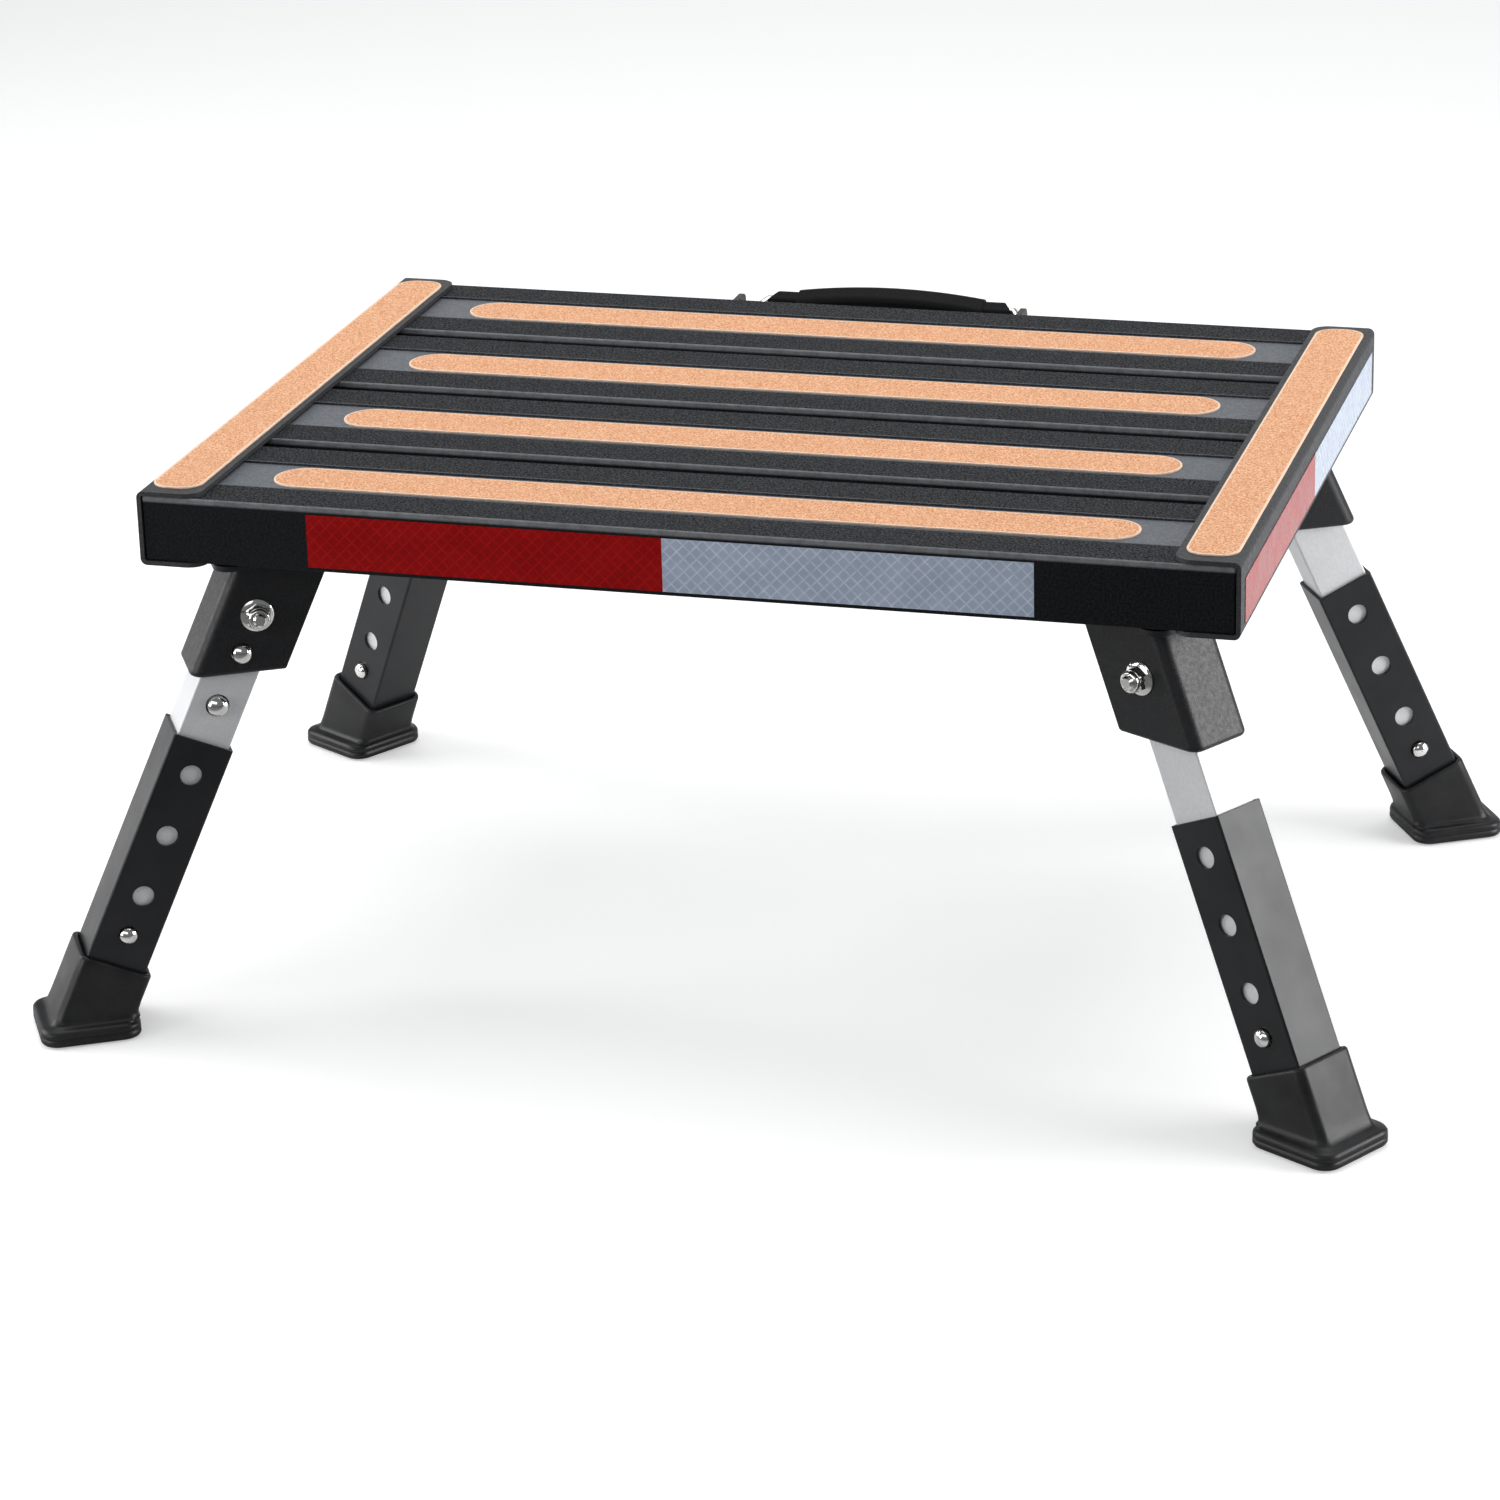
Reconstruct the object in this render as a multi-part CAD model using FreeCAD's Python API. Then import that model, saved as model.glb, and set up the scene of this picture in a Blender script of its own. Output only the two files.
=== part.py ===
"""Tailgate step: a four-plank folding platform on four splayed, adjustable legs.

Millimetres. The origin is on the ground under the centre of the platform, +Z is up, +X runs along
the platform to the right and the carry handle is on the rear side, +Y.
"""
import FreeCAD, Part
import math
import os

V = FreeCAD.Vector
X_AXIS = V(1, 0, 0)
Y_AXIS = V(0, 1, 0)
Z_AXIS = V(0, 0, 1)

# ---- driving dimensions ---------------------------------------------------------------------
LENGTH = 483.0           # platform, left to right
DEPTH = 346.0            # platform, front to rear
DECK_TOP = 252.0         # top of the end channels above the ground
DECK_THICK = 33.5        # height of the end channels
SHEET = 2.0              # channel wall
FLANGE = 28.5            # channel flange, from the outside of the web
CHANNEL_BEND = 3.0       # outside radius of the channel's bends
FLANGE_CORNER = 8.0      # rounded inner corners of the flanges
END_GAP = 0.3            # plank end to channel web
PLANK_INSET = 0.6        # outer planks behind the channel ends

PLANKS = 4
PLANK_WIDE = 77.8
PLANK_WALL = 1.8
PLANK_ROOF = 2.8         # under the ribs; the recess leaves PLANK_ROOF - RECESS_DEEP
PLANK_EDGE = 1.0         # radius of the long edges
PLANK_END_BEND = 1.3     # top and bottom edges of the ends, clear of the channel's inner bends
RECESS_WIDE = 34.0
RECESS_DEEP = 1.0

GRIP_WIDE = 26.5         # abrasive strip on a plank
GRIP_LONG = 384.0
GRIP_THICK = 0.8
END_GRIP_WIDE = 22.5     # abrasive strip on an end channel
END_GRIP_LONG = 333.0
END_GRIP_FROM_EDGE = 14.25  # strip's centre line to the outside of the web
END_GRIP_CORNER = 9.0

TAPE_HIGH = 23.7         # reflective tape
TAPE_THICK = 0.3
TAPE_TOP = 5.8           # below the top of the channel
FRONT_RED = (-164.0, -5.0)
FRONT_WHITE = (-5.0, 155.0)
REAR_RED = (-206.0, -98.0)
REAR_WHITE = (98.0, 206.0)
SIDE_TAPE_HIGH = 19.9
SIDE_TAPE_TOP = 9.3
SIDE_RED = (-164.0, 6.0)
SIDE_WHITE = (6.0, 165.0)

PIVOT_X = 205.0          # leg pivots, either side of the centre
PIVOT_Y = 140.0
PIVOT_BELOW_TOP = 59.5
LEG_TURN = 30.0          # plan angle of the legs from the X axis
SPLAY = 24.5             # legs from the vertical
FOLD_MAX = 112.0         # fold of a leg under the platform

EAR_IN = 15.0            # inner face of a bracket ear from the leg's mid plane
EAR_SHEET = 2.5
EAR_BACK = 17.8          # outside of the bracket's outer wall from the leg's axis
EAR_FRONT = 21.3         # inner edge of the ears from the leg's axis
EAR_DROP = 26.9          # bottom of the ears below the pivot
EAR_BEND = 6.0
EAR_CORNER = 2.0
PLATE_IN = -50.0         # mounting plate, towards the middle of the platform
PLATE_OUT = 18.0
PLATE_HALF = 26.0
SHIM_HALF = 20.0

TUBE_HALF = 12.2         # inner tube, half its width
TUBE_WALL = 2.0
TUBE_END = 172.0         # distances along a leg are from the pivot
TUBE_TOP_RADIUS = 14.0
SLEEVE_HALF = 14.0
SLEEVE_WALL = 1.5
SLEEVE_TOP = 64.0
SLEEVE_END = 192.0
SLEEVE_HOLES = (80.0, 110.0, 140.0)
SLEEVE_HOLE_R = 4.8
SNAP_AT = 159.5          # snap buttons in the sleeve's lowest hole
SNAP_R = 4.0
HEIGHT_AT = 46.3         # button in the inner tube, above the sleeve
HEIGHT_R = 4.6
LOCK_AT = 18.7           # fold-lock button in the bracket
LOCK_R = 4.2
BUTTON_GAP = 0.3
STOP_FROM = 18.0         # stop pad behind the inner tube
STOP_TO = 34.0

BOOT_HALF = 17.0
BOOT_TOP = 174.5
BOOT_EDGE = 4.5
BASE_HALF = 22.5
BASE_THICK = 8.0
BASE_CORNER = 8.0
BASE_SHIFT = -1.8        # base centre from where the leg's axis meets the ground

BOLT_R = 3.0
BOLT_FIT = 0.05          # radial clearance where a tube turns on its bolt
NUT_ACROSS = 10.0
NUT_HIGH = 7.8           # outside of an ear to the end of the nut
FLANGE_R = 7.4           # flange of a nut or a bolt head
BOLT_END = 9.2           # outside of an ear to the end of the bolt
RIVET_R = 2.4
RIVET_HEAD_R = 4.6
RIVET_HEAD_HIGH = 1.9

HANDLE_Y = 181.0         # handle pivot
HANDLE_BELOW_TOP = 18.5
HANDLE_TILT = 21.0       # bail above the horizontal
HANDLE_REACH = 23.5      # pivot to the middle of the grip
BAIL_R = 2.0
BAIL_PIVOT_X = 66.5
BAIL_TIP_X = 75.0
BAIL_SHOULDER_X = 61.5
BAIL_KNEE = 15.5         # the arms are straight up to here, then draw in
GRIP_HALF = 59.5         # end of the grip on the bail's axis
GRIP_COLLAR = 13.0
HANDLE_EAR_X = 69.0
HANDLE_EAR_THICK = 2.5
HANDLE_PLATE_WIDE = 24.0
HANDLE_PLATE_TOP = 6.5   # below the top of the channel
HANDLE_PLATE_HIGH = 24.0
HANDLE_EAR_TOP = 2.5     # below the top of the channel
GRIP_SAG = 4.0           # ends of the grip below its middle

# ---- worked out from them -------------------------------------------------------------------
DECK_BOTTOM = DECK_TOP - DECK_THICK
PLANK_TOP = DECK_TOP - SHEET
PLANK_BOTTOM = DECK_BOTTOM + SHEET
PLANK_LONG = LENGTH - 2 * (SHEET + END_GAP)
PLANK_FACE = DEPTH / 2 - PLANK_INSET
PLANK_PITCH = (2 * PLANK_FACE - PLANK_WIDE) / (PLANKS - 1)
PIVOT_Z = DECK_TOP - PIVOT_BELOW_TOP
TAN_SPLAY = math.tan(math.radians(SPLAY))
COS_SPLAY = math.cos(math.radians(SPLAY))
GROUND_AT = PIVOT_Z / COS_SPLAY
PLATE_TOP = DECK_BOTTOM - PIVOT_Z
PLATE_BOTTOM = PLATE_TOP - EAR_SHEET
EAR_OUT = EAR_IN + EAR_SHEET

# corner: (side in X, side in Y, plan direction of the leg, side of the leg that carries the nut)
CORNERS = {
    "front_left": (-1, -1, 180 + LEG_TURN, 1),
    "front_right": (1, -1, -LEG_TURN, -1),
    "rear_left": (-1, 1, 180 - LEG_TURN, -1),
    "rear_right": (1, 1, LEG_TURN, 1),
}

parts = {}


# ---- helpers --------------------------------------------------------------------------------
def box(x, y, z):
    """A box from three (low, high) pairs."""
    return Part.makeBox(x[1] - x[0], y[1] - y[0], z[1] - z[0], V(x[0], y[0], z[0]))


def prism(points, along):
    """A closed outline pushed along a vector."""
    return Part.Face(Part.makePolygon(points + [points[0]])).extrude(along)


def rod(radius, start, end):
    """A round bar between two points."""
    axis = end - start
    return Part.makeCylinder(radius, axis.Length, start, axis)


def fillet(shape, radius, wanted):
    """Round the edges that wanted(edge) picks."""
    edges = [e for e in shape.Edges if wanted(e)]
    return shape.makeFillet(radius, edges)


def runs_along(edge, axis):
    """True for a straight edge parallel to the axis."""
    if not isinstance(edge.Curve, (Part.Line, Part.LineSegment)):
        return False
    direction = (edge.Vertexes[-1].Point - edge.Vertexes[0].Point).normalize()
    return abs(abs(direction.dot(axis)) - 1) < 1e-6


def middle(edge):
    """The middle of an edge's bounding box."""
    return edge.BoundBox.Center


def group(solids):
    """Several separate solids kept as one node."""
    return Part.makeCompound(solids)


def domed_pin(radius, start, shoulder, crown):
    """A pin along +Y with a domed end: flat at start, straight to the shoulder, crown at its tip."""
    rise = crown - shoulder
    ball = (radius * radius + rise * rise) / (2 * rise)
    half = math.asin(radius / ball) / 2
    on_dome = V(ball * math.sin(half), crown - ball + ball * math.cos(half), 0)
    corners = [V(0, crown, 0), V(0, start, 0), V(radius, start, 0), V(radius, shoulder, 0)]
    edges = [Part.makeLine(a, b) for a, b in zip(corners, corners[1:])]
    edges.append(Part.Arc(corners[-1], on_dome, corners[0]).toShape())
    return Part.Face(Part.Wire(edges)).revolve(V(0, 0, 0), Y_AXIS, 360)


def rivet_down(x, y, face_z, length):
    """A rivet with its domed head under face_z and its shank going up."""
    pin = domed_pin(RIVET_HEAD_R, 0, 0.6, RIVET_HEAD_HIGH)
    shank = rod(RIVET_R, V(0, 0, 0), V(0, -length, 0))
    rivet = pin.fuse(shank)
    rivet.rotate(V(0, 0, 0), X_AXIS, -90)
    rivet.translate(V(x, y, face_z))
    return rivet


# ---- platform -------------------------------------------------------------------------------
def plank_centre(index):
    return -PLANK_FACE + PLANK_WIDE / 2 + index * PLANK_PITCH


def rivet_spots(side):
    """Where the rivets tie the planks to one end channel."""
    x = side * (LENGTH / 2 - FLANGE / 2)
    return [(x, plank_centre(i) + dy) for i in range(PLANKS) for dy in (-26.0, 26.0)]


def drill_rivets(shape, spots, z):
    for x, y in spots:
        shape = shape.cut(rod(RIVET_R + 0.1, V(x, y, z[0]), V(x, y, z[1])))
    return shape


def make_plank(index):
    """A hollow extrusion with two cells and a recess along the middle of its top."""
    y = plank_centre(index)
    half = PLANK_LONG / 2
    x = (-half, half)
    plank = box(x, (y - PLANK_WIDE / 2, y + PLANK_WIDE / 2), (PLANK_BOTTOM, PLANK_TOP))
    plank = fillet(plank, PLANK_END_BEND, lambda e: runs_along(e, Y_AXIS))
    plank = fillet(plank, PLANK_EDGE, lambda e: runs_along(e, X_AXIS))
    recess = (y - RECESS_WIDE / 2, y + RECESS_WIDE / 2)
    plank = plank.cut(box(x, recess, (PLANK_TOP - RECESS_DEEP, PLANK_TOP)))
    floor = (PLANK_BOTTOM + PLANK_WALL, PLANK_TOP - PLANK_ROOF)
    near = (y - PLANK_WIDE / 2 + PLANK_WALL, y - PLANK_WALL / 2)
    far = (y + PLANK_WALL / 2, y + PLANK_WIDE / 2 - PLANK_WALL)
    for cell in (near, far):
        plank = plank.cut(box(x, cell, floor))
    for side in (-1, 1):
        plank = drill_rivets(plank, rivet_spots(side), (PLANK_BOTTOM - 1, PLANK_BOTTOM + PLANK_WALL + 1))
    return plank


def make_channel(side):
    """An end channel: its web stands outside and its flanges hold the plank ends."""
    y = (-DEPTH / 2, DEPTH / 2)
    out = LENGTH / 2
    solid = box((out - FLANGE, out), y, (DECK_BOTTOM, DECK_TOP))
    solid = fillet(solid, CHANNEL_BEND, lambda e: runs_along(e, Y_AXIS) and middle(e).x > out - 1)
    hollow = box((out - FLANGE - 20, out - SHEET), y, (DECK_BOTTOM + SHEET, DECK_TOP - SHEET))
    inner = CHANNEL_BEND - SHEET
    hollow = fillet(hollow, inner, lambda e: runs_along(e, Y_AXIS) and middle(e).x > out - SHEET - 1)
    channel = solid.cut(hollow)
    corners = lambda e: runs_along(e, Z_AXIS) and abs(middle(e).x - (out - FLANGE)) < 1e-3
    channel = fillet(channel, FLANGE_CORNER, corners)
    if side < 0:
        channel = channel.mirror(V(0, 0, 0), X_AXIS)
    return drill_rivets(channel, rivet_spots(side), (DECK_BOTTOM - 1, DECK_BOTTOM + SHEET + 1))


def rounded_strip(x, y, z, radius):
    return fillet(box(x, y, z), radius, lambda e: runs_along(e, Z_AXIS))


def make_plank_grip(index):
    """An abrasive strip with round ends, stuck in the plank's recess."""
    y = plank_centre(index)
    floor = PLANK_TOP - RECESS_DEEP
    x = (-GRIP_LONG / 2, GRIP_LONG / 2)
    wide = (y - GRIP_WIDE / 2, y + GRIP_WIDE / 2)
    return rounded_strip(x, wide, (floor, floor + GRIP_THICK), GRIP_WIDE / 2 - 0.01)


def make_end_grip(side):
    """The wider-cornered abrasive strip on top of an end channel."""
    x = side * (LENGTH / 2 - END_GRIP_FROM_EDGE)
    wide = (x - END_GRIP_WIDE / 2, x + END_GRIP_WIDE / 2)
    y = (-END_GRIP_LONG / 2, END_GRIP_LONG / 2)
    return rounded_strip(wide, y, (DECK_TOP, DECK_TOP + GRIP_THICK), END_GRIP_CORNER)


def tape_on_long_side(x, side):
    """Reflective tape on the outer face of the front (-1) or rear (+1) plank."""
    face = side * PLANK_FACE
    y = sorted((face, face + side * TAPE_THICK))
    top = DECK_TOP - TAPE_TOP
    return box(x, y, (top - TAPE_HIGH, top))


def tape_on_end(y, side):
    """Reflective tape on the web of an end channel."""
    face = side * LENGTH / 2
    x = sorted((face, face + side * TAPE_THICK))
    top = DECK_TOP - SIDE_TAPE_TOP
    return box(x, y, (top - SIDE_TAPE_HIGH, top))


def make_platform():
    names = ("front", "mid_front", "mid_rear", "rear")
    for index, name in enumerate(names):
        parts["deck_plank_" + name] = make_plank(index)
        parts["plank_grip_" + name] = make_plank_grip(index)
    for side, name in ((-1, "left"), (1, "right")):
        parts["end_channel_" + name] = make_channel(side)
        parts["end_grip_" + name] = make_end_grip(side)
    tapes = (("red", FRONT_RED, REAR_RED, SIDE_RED), ("white", FRONT_WHITE, REAR_WHITE, SIDE_WHITE))
    for colour, front, rear, end in tapes:
        long_sides = [tape_on_long_side(front, -1), tape_on_long_side(rear, 1)]
        parts["reflectors_" + colour] = group(long_sides + [tape_on_end(end, s) for s in (-1, 1)])
    shank = SHEET + PLANK_WALL
    spots = rivet_spots(-1) + rivet_spots(1)
    parts["channel_rivets"] = group([rivet_down(x, y, DECK_BOTTOM, shank) for x, y in spots])


# ---- legs -----------------------------------------------------------------------------------
# Each leg is drawn at the origin: the pivot is the origin, +X points out along the leg's splay
# and +Y is the hinge's axis. "Upright" shapes hang straight down and are then splayed.
def splay(shape):
    shape.rotate(V(0, 0, 0), Y_AXIS, -SPLAY)
    return shape


def at_corner(shape, corner):
    """Move a shape from the leg's own frame to its corner of the platform."""
    side_x, side_y, turn, _ = CORNERS[corner]
    placed = shape.copy()
    placed.rotate(V(0, 0, 0), Z_AXIS, turn)
    placed.translate(V(side_x * PIVOT_X, side_y * PIVOT_Y, PIVOT_Z))
    return placed


def lean(offset, z):
    """X of the line that runs parallel to the leg, offset outwards from its axis, at height z."""
    return offset / COS_SPLAY - z * TAN_SPLAY


def ear_outline(back, z_low, z_high, y):
    front = -EAR_FRONT
    return [V(lean(front, z_low), y, z_low), V(lean(back, z_low), y, z_low),
            V(lean(back, z_high), y, z_high), V(lean(front, z_high), y, z_high)]


def along_leg(edge):
    """True for a straight edge that leans with the leg."""
    direction = V(-math.sin(math.radians(SPLAY)), 0, COS_SPLAY)
    return runs_along(edge, direction)


def plate_holes():
    return [(-41.0, -15.0), (-41.0, 15.0), (-12.0, -8.0), (-12.0, 8.0)]


def make_bracket():
    """A folded steel bracket: two ears, the wall that closes them outside and a plate on top."""
    wide = V(0, 2 * EAR_OUT, 0)
    body = prism(ear_outline(EAR_BACK, -EAR_DROP, PLATE_TOP, -EAR_OUT), wide)
    outside = lambda e: along_leg(e) and middle(e).x > lean(0, middle(e).z)
    body = fillet(body, EAR_BEND, outside)
    low_outer = lambda e: (runs_along(e, Y_AXIS) and middle(e).z < -EAR_DROP + 0.1 and middle(e).x > 20)
    body = fillet(body, EAR_CORNER, low_outer)
    gap = V(0, 2 * EAR_IN, 0)
    inside = prism(ear_outline(EAR_BACK - EAR_SHEET, -EAR_DROP - 20, PLATE_BOTTOM, -EAR_IN), gap)
    inside = fillet(inside, EAR_BEND - EAR_SHEET, outside)
    front = prism([V(lean(-EAR_FRONT - 30, -EAR_DROP - 20), -EAR_IN, -EAR_DROP - 20),
                   V(0, -EAR_IN, -EAR_DROP - 20),
                   V(0, -EAR_IN, PLATE_BOTTOM),
                   V(lean(-EAR_FRONT - 30, PLATE_BOTTOM), -EAR_IN, PLATE_BOTTOM)], gap)
    body = body.cut(inside).cut(front)
    plate = box((PLATE_IN, PLATE_OUT), (-PLATE_HALF, PLATE_HALF), (PLATE_BOTTOM, PLATE_TOP))
    plate = fillet(plate, 8.0, lambda e: runs_along(e, Z_AXIS))
    body = body.fuse(plate).removeSplitter()
    body = body.cut(rod(BOLT_R + 0.1, V(0, -30, 0), V(0, 30, 0)))
    button = splay(rod(LOCK_R + BUTTON_GAP, V(0, EAR_IN - 5, -LOCK_AT), V(0, EAR_OUT + 5, -LOCK_AT)))
    body = body.cut(button)
    for x, y in plate_holes():
        body = body.cut(rod(RIVET_R + 0.1, V(x, y, PLATE_BOTTOM - 1), V(x, y, PLATE_TOP + 1)))
    return body


def make_tube():
    """The inner aluminium tube, rounded at the top so that it can turn in its bracket."""
    upright = (-TUBE_END, TUBE_TOP_RADIUS)
    side = (-TUBE_HALF, TUBE_HALF)
    tube = fillet(box(side, side, upright), 1.0, lambda e: runs_along(e, Z_AXIS))
    crown = rod(TUBE_TOP_RADIUS, V(0, -20, 0), V(0, 20, 0))
    crown = crown.fuse(box((-20, 20), (-20, 20), (-TUBE_END - 1, 0)))
    tube = tube.common(crown)
    hole = (-TUBE_HALF + TUBE_WALL, TUBE_HALF - TUBE_WALL)
    tube = tube.cut(box(hole, hole, (-TUBE_END - 1, TUBE_TOP_RADIUS + 1)))
    tube = tube.cut(rod(BOLT_R + BOLT_FIT, V(0, -20, 0), V(0, 20, 0)))
    tube = tube.cut(rod(HEIGHT_R + 0.7, V(0, 0, -HEIGHT_AT), V(0, 20, -HEIGHT_AT)))
    return tube.cut(rod(SNAP_R + BUTTON_GAP, V(0, -20, -SNAP_AT), V(0, 20, -SNAP_AT)))


def make_sleeve():
    """The outer tube with its row of height holes on both hinge-side faces."""
    span = (-SLEEVE_END, -SLEEVE_TOP)
    side = (-SLEEVE_HALF, SLEEVE_HALF)
    sleeve = fillet(box(side, side, span), 1.2, lambda e: runs_along(e, Z_AXIS))
    hole = (-SLEEVE_HALF + SLEEVE_WALL, SLEEVE_HALF - SLEEVE_WALL)
    sleeve = sleeve.cut(box(hole, hole, span))
    for at in SLEEVE_HOLES:
        sleeve = sleeve.cut(rod(SLEEVE_HOLE_R, V(0, -20, -at), V(0, 20, -at)))
    return sleeve.cut(rod(SNAP_R + BUTTON_GAP, V(0, -20, -SNAP_AT), V(0, 20, -SNAP_AT)))


def make_foot():
    """A rubber boot that leans with the leg and stands on a flat, flared base."""
    side = (-BOOT_HALF, BOOT_HALF)
    boot = box(side, side, (-GROUND_AT - 30, -BOOT_TOP))
    boot = fillet(boot, BOOT_EDGE, lambda e: runs_along(e, Z_AXIS))
    boot = fillet(boot, 1.0, lambda e: abs(middle(e).z + BOOT_TOP) < 1e-6)
    boot = splay(boot)
    foot_x = PIVOT_Z * TAN_SPLAY
    ground = box((foot_x - 60, foot_x + 60), (-60, 60), (-PIVOT_Z - 60, -PIVOT_Z + 1))
    boot = boot.cut(ground)
    centre = foot_x + BASE_SHIFT
    base = box((centre - BASE_HALF, centre + BASE_HALF), (-BASE_HALF, BASE_HALF),
               (-PIVOT_Z, -PIVOT_Z + BASE_THICK))
    base = fillet(base, BASE_CORNER, lambda e: runs_along(e, Z_AXIS))
    base = fillet(base, 2.0, lambda e: middle(e).z > -PIVOT_Z + BASE_THICK - 0.01)
    socket = (-SLEEVE_HALF, SLEEVE_HALF)
    pocket = box(socket, socket, (-SLEEVE_END, -BOOT_TOP + 5))
    pocket = fillet(pocket, 1.2, lambda e: runs_along(e, Z_AXIS))
    return boot.fuse(base).removeSplitter().cut(splay(pocket))


def make_lock_button():
    """The sprung button that locks a leg open, held in the bracket's ear by a thin flange."""
    pin = domed_pin(LOCK_R, EAR_IN - 0.4, EAR_OUT + 2.0, EAR_OUT + 3.8)
    flange = rod(LOCK_R + 1.2, V(0, EAR_IN - 1.2, 0), V(0, EAR_IN - 0.3, 0))
    button = pin.fuse(flange)
    button.translate(V(0, 0, -LOCK_AT))
    return button


def make_height_button():
    """The sprung button that stands out of the inner tube above the sleeve."""
    inner = TUBE_HALF - TUBE_WALL
    pin = domed_pin(HEIGHT_R, inner - 0.4, TUBE_HALF + 1.9, TUBE_HALF + 4.0)
    flange = rod(HEIGHT_R + 1.4, V(0, inner - 1.4, 0), V(0, inner - 0.3, 0))
    button = pin.fuse(flange)
    button.translate(V(0, 0, -HEIGHT_AT))
    return button


def make_snap_button(side):
    """One of the two buttons that stand out of the sleeve's lowest hole."""
    button = domed_pin(SNAP_R, TUBE_HALF + 0.45, SLEEVE_HALF + 1.6, SLEEVE_HALF + 3.5)
    if side < 0:
        button = button.mirror(V(0, 0, 0), Y_AXIS)
    button.translate(V(0, 0, -SNAP_AT))
    return button


def hexagon(across, y, high):
    corner = across / math.sqrt(3)
    points = [V(corner * math.cos(math.radians(60 * i)), y, corner * math.sin(math.radians(60 * i)))
              for i in range(6)]
    return prism(points, V(0, high, 0))


def chamfered_hexagon(y, high):
    """A nut's hexagon whose corners are turned off by a cone at the outer end."""
    corner = NUT_ACROSS / math.sqrt(3)
    flat = NUT_ACROSS / 2 - 0.2
    chamfer = (corner - flat) * 0.6
    turned = rod(corner + 0.1, V(0, y, 0), V(0, y + high - chamfer, 0))
    turned = turned.fuse(Part.makeCone(corner + 0.1, flat, chamfer, V(0, y + high - chamfer, 0), Y_AXIS))
    return hexagon(NUT_ACROSS, y, high).common(turned)


def flange_disc(y):
    """The cone-topped flange under a bolt head or nut, standing out from y."""
    disc = rod(FLANGE_R, V(0, y, 0), V(0, y + 0.8, 0))
    return disc.fuse(Part.makeCone(FLANGE_R, FLANGE_R - 1.7, 0.8, V(0, y + 0.8, 0), Y_AXIS))


def make_bolt():
    """Pivot bolt: flanged hexagon head on the -Y side, chamfered end on the +Y side."""
    end = EAR_OUT + BOLT_END
    shank = rod(BOLT_R, V(0, -EAR_OUT, 0), V(0, end - 0.8, 0))
    shank = shank.fuse(Part.makeCone(BOLT_R, BOLT_R - 0.8, 0.8, V(0, end - 0.8, 0), Y_AXIS))
    head = flange_disc(EAR_OUT).fuse(chamfered_hexagon(EAR_OUT + 1.0, 5.0)).removeSplitter()
    return shank.fuse(head.mirror(V(0, 0, 0), Y_AXIS))


def make_nut():
    """Flanged lock nut with a rounded collar over its nylon ring, on the bolt's +Y end."""
    nut = flange_disc(EAR_OUT).fuse(chamfered_hexagon(EAR_OUT + 1.0, 4.6))
    collar = rod(4.75, V(0, EAR_OUT + 5.0, 0), V(0, EAR_OUT + NUT_HIGH, 0))
    collar = fillet(collar, 1.0, lambda e: middle(e).y > EAR_OUT + NUT_HIGH - 0.01)
    nut = nut.fuse(collar).removeSplitter()
    lead = Part.makeCone(BOLT_R, BOLT_R + 0.7, 0.7, V(0, EAR_OUT + NUT_HIGH - 0.69, 0), Y_AXIS)
    return nut.cut(rod(BOLT_R, V(0, EAR_OUT - 1, 0), V(0, EAR_OUT + 10, 0))).cut(lead)


def make_washer(side):
    """Nylon washer between the inner tube and an ear."""
    y = (TUBE_HALF + 0.3, EAR_IN)
    washer = rod(8.0, V(0, y[0], 0), V(0, y[1], 0)).cut(rod(BOLT_R + 0.1, V(0, 0, 0), V(0, 20, 0)))
    return washer.mirror(V(0, 0, 0), Y_AXIS) if side < 0 else washer


def make_stop_pad():
    """Rubber pad on the bracket's outer wall that the open leg comes to rest against."""
    return box((TUBE_HALF + 0.1, EAR_BACK - EAR_SHEET), (-9.0, 9.0), (-STOP_TO, -STOP_FROM))


def make_shim():
    """Packing strip that fills the step between the channel's flange and the plank."""
    top = PLATE_TOP + SHEET
    shim = box((PLATE_IN + 4, -4), (-SHIM_HALF, SHIM_HALF), (PLATE_TOP, top))
    for x, y in plate_holes():
        shim = shim.cut(rod(RIVET_R + 0.1, V(x, y, PLATE_TOP - 1), V(x, y, top + 1)))
    return shim


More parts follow.
